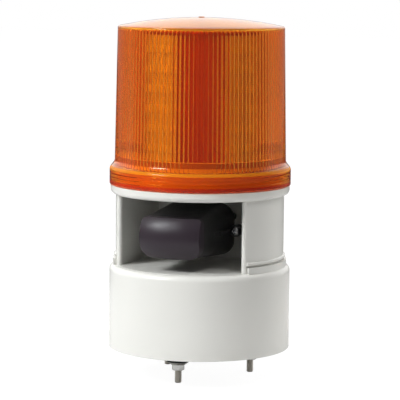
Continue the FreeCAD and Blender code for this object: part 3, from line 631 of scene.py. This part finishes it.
def lens_thread():
    """Inside of the skirt: the thread, and under it the back of the thin lip."""
    skirt_in = SKIRT_R - SKIRT_WALL
    root_r = skirt_in + LENS_ROOT
    depth = -LENS_THREAD - LENS_ROOT
    lip_z = SKIRT_Z + SKIRT_LIP_H
    rows = [(skirt_in - LENS_THREAD, SHOULDER_Z)]
    rows += thread_rows(root_r, depth, LENS_PITCH, SHOULDER_Z - SHOULDER_SOFT, lip_z + SHOULDER_SOFT)
    rows += [(skirt_in, lip_z), (SKIRT_R - SKIRT_LIP, lip_z), (SKIRT_R - SKIRT_LIP, SKIRT_Z)]
    return rows


def build_lens():
    """One skin up the outside and down the inside, each of its zones in its own amber."""
    zones = [
        ("lens_amber_lip", lens_lip()),
        ("lens_amber", [(SKIRT_R, SKIRT_Z + LIP_BAND)]),
        # The shoulder's rounded edge gets the amber with the painted highlight
        ("lens_amber_shoulder", lens_shoulder()),
        ("lens_amber", lens_outside()),
        ("lens_amber_roof", lens_roof()),
        ("lens_amber_ribs", lens_ribs()),
        ("lens_amber_thread", lens_thread()),
    ]
    segments = RIBS * RIB_STEPS
    obj = add_object("ribbed_lens", *lathe([row for _, rows in zones for row in rows], segments))
    finish_piece(obj, "lens", "lens_amber", ["lens"], AMBERS)
    order = list(AMBERS)
    look_of_row = [order.index(look) for look, rows in zones for _ in rows]
    for face in obj.data.polygons:
        face.material_index = look_of_row[face.index // segments]


def build_seat_thread():
    """Thread on the seat's collar, a hair proud of it."""
    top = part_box("lens_seat")[1].z - 2 * LENS_THREAD
    low = top - SEAT_THREAD_H
    collar_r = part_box("lens_seal")[1].x - SEAL_REACH
    rows = [(collar_r - LENS_THREAD, low)]
    rows += thread_rows(collar_r, LENS_THREAD, LENS_PITCH, low, top)
    rows += [(collar_r - LENS_THREAD, top)]
    obj = add_object("seat_thread", *lathe(rows, SEAT_SEGMENTS))
    finish_piece(obj, "root", "housing_white")


# Studs with rolled threads

def hex_row(flats, z):
    """Row round a hexagon of a width across its flats."""
    step = math.pi / 3
    return lambda turn: (flats / 2 / math.cos((turn + step / 2) % step - step / 2), z)


def build_studs():
    """Studs with a chamfered tip, a thread up to the bottom plate and a hex head on it."""
    plate_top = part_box("bottom_plate")[1].z
    head_top = plate_top + STUD_HEAD_H
    root_r = STUD_R - STUD_THREAD
    half = STUD_CHAMFER / 2
    skins = []
    for low, high in solids_of("mounting_studs"):
        middle = (low + high) / 2
        rows = [(AXIS_R, low.z), (root_r - half, low.z), (root_r, low.z + half)]
        rows += thread_rows(root_r, STUD_THREAD, STUD_PITCH, low.z + STUD_CHAMFER, plate_top - STUD_CHAMFER)
        rows += [hex_row(STUD_HEAD_FLATS, plate_top), hex_row(STUD_HEAD_FLATS, head_top), (AXIS_R, head_top)]
        skins.append(lathe(rows, STUD_SEGMENTS, Matrix.Translation((middle.x, middle.y, 0.0))))
    finish_piece(add_object("threaded_studs", *merged(skins)), "root", "stud_steel", ["mounting_studs"])


# Pan-head screws with a cross recess

def share_of(part, whole):
    """Part of a whole, from 0 to 1."""
    return min(1.0, max(0.0, part / whole))


def cross_depth(x, y):
    """How deep the cross recess is at a place on the head, 1 in its arms."""
    across = min(abs(x), abs(y))
    outward = max(abs(x), abs(y))
    return min(share_of(RECESS_MOUTH - across, RECESS_SIDE), share_of(RECESS_REACH - outward, RECESS_END))


def head_row(r, head_r):
    """Row of the crowned head at a radius, with the recess cut into it."""
    crown = SCREW_HEAD_H * (1.0 - SCREW_CROWN * (r / head_r) ** 2)

    def row(turn):
        return r, crown - RECESS_DEPTH * cross_depth(r * math.sin(turn), r * math.cos(turn))
    return row


def screw_skin(head_r, length, at):
    """Screw with its seat at the origin of a place, its head along the place's +Z."""
    rows = [
        (AXIS_R, -length),
        (SCREW_SHANK_R * SCREW_TIP, -length),
        (SCREW_SHANK_R, -length + SCREW_SHANK_R),
        (SCREW_SHANK_R, 0.0),
        (head_r * SCREW_FOOT, 0.0),
        (head_r, SCREW_HEAD_H * SCREW_EDGE),
    ]
    rows += [head_row(head_r * (1.0 - i / SCREW_HEAD_ROWS), head_r) for i in range(SCREW_HEAD_ROWS)]
    rows.append((AXIS_R, SCREW_HEAD_H - RECESS_DEPTH))
    return lathe(rows, SCREW_SEGMENTS, at)


def build_screws(name, node, axis, look):
    """Screws in place of a node's plain ones; axis is the way their heads point."""
    facing = Vector(axis).to_track_quat("Z", "Y").to_matrix().to_4x4()
    lengthwise = max(range(3), key=lambda i: abs(axis[i]))
    crosswise = (lengthwise + 1) % 3
    skins = []
    for low, high in solids_of(node):
        size = high - low
        front = high if axis[lengthwise] > 0 else low
        seat = (low + high) / 2
        seat[lengthwise] = front[lengthwise] - axis[lengthwise] * SCREW_HEAD_H
        at = Matrix.Translation(seat) @ facing
        skins.append(screw_skin(size[crosswise] / 2, size[lengthwise] - SCREW_HEAD_H, at))
    finish_piece(add_object(name, *merged(skins)), "root", "plated_steel", [node], [look])


build_lens()
build_seat_thread()
build_studs()
build_screws("cross_horn_screws", "horn_screws", (0, -1, 0), "dark_zinc")
build_screws("cross_plate_screws", "plate_screws", (0, 0, -1), "plated_steel")


# Shading of the carried-over nodes

for obj in nodes.values():
    obj.data.polygons.foreach_set("use_smooth", [True] * len(obj.data.polygons))
    edges = obj.modifiers.new("keep_edges", "EDGE_SPLIT")
    edges.split_angle = math.radians(SHARP_ANGLE)


# Studio: a white backdrop behind the object, a darker room in front of it, a floor that is pale near it
ROOM_LEVEL = 0.22
BACKDROP_LEVEL = 1.25
BACKDROP_SIDE = (0.0, 0.6)
BACKDROP_FOOT = (0.01, 0.08)
SEEN_THROUGH = 0.64
SOFT_BOX_PEAK = 2.8
SOFT_BOX_MIDDLE = (0.5, 0.5, 0.0)
SOFT_BOX_FADE = (0.1, 0.5)
KEY_COLOUR = (0.97, 1.0, 1.02)
FLOOR_HALF = 6.0
FLOOR_FADE = (0.25, 0.70)
FLOOR_NEAR = (0.70, 0.70, 0.70)
FLOOR_FAR = (0.10, 0.10, 0.10)
FLOOR_TINT = (0.12, 0.12, 0.12)
FLOOR_SCALE = 40.0
FLOOR_DRIFT = 0.05
FLOOR_ROUGH = 0.9
FLOOR_GLOW = 0.94


def direction(turn, lift=0.0):
    """Unit vector at a turn from the front towards +X and a lift above the horizon, in degrees."""
    turn = math.radians(turn)
    lift = math.radians(lift)
    return Vector((math.sin(turn) * math.cos(lift), -math.cos(turn) * math.cos(lift), math.sin(lift)))


def build_world():
    """White for the camera, backdrop and room for other rays, never dark for those through the lens."""
    world = bpy.data.worlds.new("studio")
    bpy.context.scene.world = world
    world.use_nodes = True
    tree = world.node_tree
    coords = tree.nodes.new("ShaderNodeTexCoord").outputs["Generated"]
    path = tree.nodes.new("ShaderNodeLightPath")
    behind = ramp(tree, along(tree, coords, direction(CAMERA_TURN + 180.0)), BACKDROP_SIDE, (0.0, 1.0))
    above = ramp(tree, along(tree, coords, UP), BACKDROP_FOOT, (0.0, 1.0))
    backdrop = ramp(tree, maths(tree, "MULTIPLY", behind, above), (0.0, 1.0), (ROOM_LEVEL, BACKDROP_LEVEL))
    through = maths(tree, "MULTIPLY", path.outputs["Is Transmission Ray"], SEEN_THROUGH)
    level = maths(tree, "MAXIMUM", maths(tree, "MAXIMUM", backdrop, through), path.outputs["Is Camera Ray"])
    feed(tree, level, tree.nodes["Background"].inputs["Strength"])
    feed(tree, WHITE, tree.nodes["Background"].inputs["Color"])


def build_floor():
    """Floor that is white with a shadow for the camera, and pale only near the object for other rays."""
    z = cad_box[0].z
    half = FLOOR_HALF
    corners = [(-half, -half, z), (half, -half, z), (half, half, z), (-half, half, z)]
    floor = add_object("floor", corners, [(0, 1, 2, 3)])
    mat, tree, inputs = material("floor_white")
    path = tree.nodes.new("ShaderNodeLightPath")
    where = place(tree)
    near = ramp(tree, distance(tree, where, (0.0, 0.0, z)), FLOOR_FADE, (1.0, 0.0))
    unseen = blend_colours(tree, near, FLOOR_FAR, FLOOR_NEAR)
    darker = scaled(FLOOR_TINT, 1 - FLOOR_DRIFT)
    paler = scaled(FLOOR_TINT, 1 + FLOOR_DRIFT)
    seen = blend_colours(tree, noise(tree, where, FLOOR_SCALE), darker, paler)
    feed(tree, blend_colours(tree, path.outputs["Is Camera Ray"], unseen, seen), inputs["Base Color"])
    feed(tree, FLOOR_ROUGH, inputs["Roughness"])
    feed(tree, 0.0, inputs["Specular IOR Level"])
    glow = maths(tree, "MULTIPLY", path.outputs["Is Camera Ray"], FLOOR_GLOW)
    through = maths(tree, "MULTIPLY", path.outputs["Is Transmission Ray"], SEEN_THROUGH)
    feed(tree, maths(tree, "MAXIMUM", glow, through), inputs["Emission Strength"])
    feed(tree, WHITE, inputs["Emission Color"])
    floor.data.materials.append(mat)


def build_light(name, turn, lift, reach, size, power, mirrored=False, colour=WHITE):
    """Soft box aimed at the object, brightest in its middle, seen in gloss and glass only if mirrored."""
    data = bpy.data.lights.new(name, "AREA")
    data.shape = "RECTANGLE"
    data.size, data.size_y = size
    data.energy = power
    data.color = colour
    data.use_nodes = True
    tree = data.node_tree
    spot = tree.nodes.new("ShaderNodeNewGeometry").outputs["Parametric"]
    fade = ramp(tree, distance(tree, spot, SOFT_BOX_MIDDLE), SOFT_BOX_FADE, (SOFT_BOX_PEAK, 0.0))
    feed(tree, fade, tree.nodes["Emission"].inputs["Strength"])
    lamp = bpy.data.objects.new(name, data)
    way = direction(turn, lift)
    lamp.location = Vector((0, 0, CAMERA_AIM_Z)) + reach * way
    lamp.rotation_euler = (-way).to_track_quat("-Z", "Y").to_euler()
    lamp.visible_glossy = mirrored
    lamp.visible_transmission = mirrored
    bpy.context.scene.collection.objects.link(lamp)


def build_camera():
    """Camera of the photograph, aimed at the object's axis and rolled a little."""
    data = bpy.data.cameras.new("photo_camera")
    data.lens = CAMERA_LENS
    data.sensor_width = CAMERA_SENSOR
    data.clip_start = CAMERA_NEAR
    data.clip_end = CAMERA_FAR
    camera = bpy.data.objects.new("photo_camera", data)
    camera.location = CAMERA_REACH * direction(CAMERA_TURN) + Vector((0, 0, CAMERA_HEIGHT))
    aim = Vector((0, 0, CAMERA_AIM_Z)) - camera.location
    roll = Matrix.Rotation(math.radians(CAMERA_ROLL), 3, "Z")
    camera.rotation_euler = (aim.to_track_quat("-Z", "Y").to_matrix() @ roll).to_euler()
    bpy.context.scene.collection.objects.link(camera)
    bpy.context.scene.camera = camera


build_world()
build_floor()
build_light("key", -40.0, 36.0, reach=1.1, size=(0.6, 0.6), power=10.2, mirrored=True, colour=KEY_COLOUR)
build_light("front", -30.0, 42.0, reach=1.3, size=(0.3, 0.3), power=3.0)
build_light("side", 54.0, 55.0, reach=1.3, size=(0.4, 0.4), power=3.9)
build_light("rim", 150.0, 15.0, reach=1.2, size=(0.4, 0.8), power=6.2)
build_camera()
bpy.context.scene.view_settings.view_transform = "Standard"
